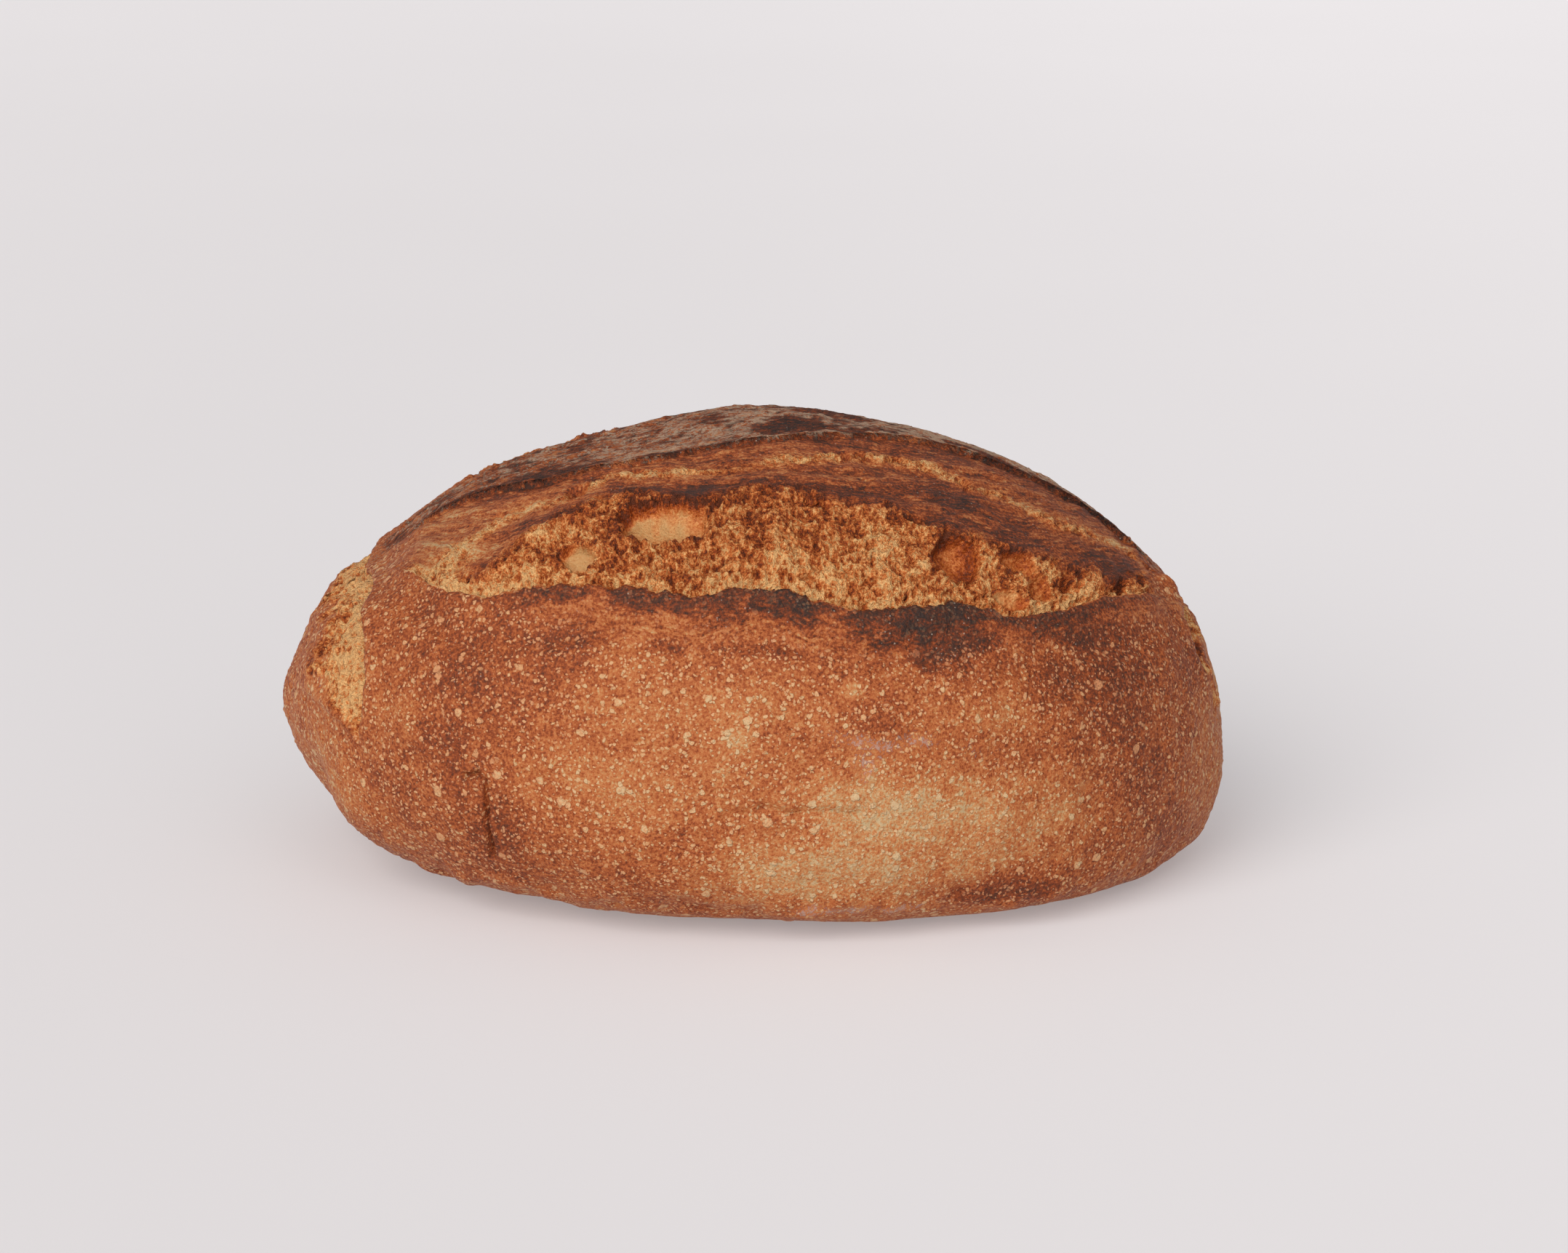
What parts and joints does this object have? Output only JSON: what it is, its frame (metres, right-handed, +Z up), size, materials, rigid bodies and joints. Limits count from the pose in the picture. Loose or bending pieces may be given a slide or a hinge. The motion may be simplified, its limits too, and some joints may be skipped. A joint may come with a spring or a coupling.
{
  "type": "white sourdough loaf",
  "caption": "Whole oval sourdough loaf with a flat base, a square-cut top and a wide torn opening along its front.",
  "frame": {"origin": "middle of the base of the loaf's box, on the surface it stands on", "axes": "+X along the loaf to its steeper end, +Y from the widest opening to the back, +Z up"},
  "size_m": [0.2618, 0.1982, 0.121],
  "materials": {
    "crust": "browned bread crust, dull with a faint sheen, floured and charred in places, torn golden crumb in the cuts"
  },
  "bodies": {
    "root": {"loaf": "crust"}
  },
  "joints": []
}
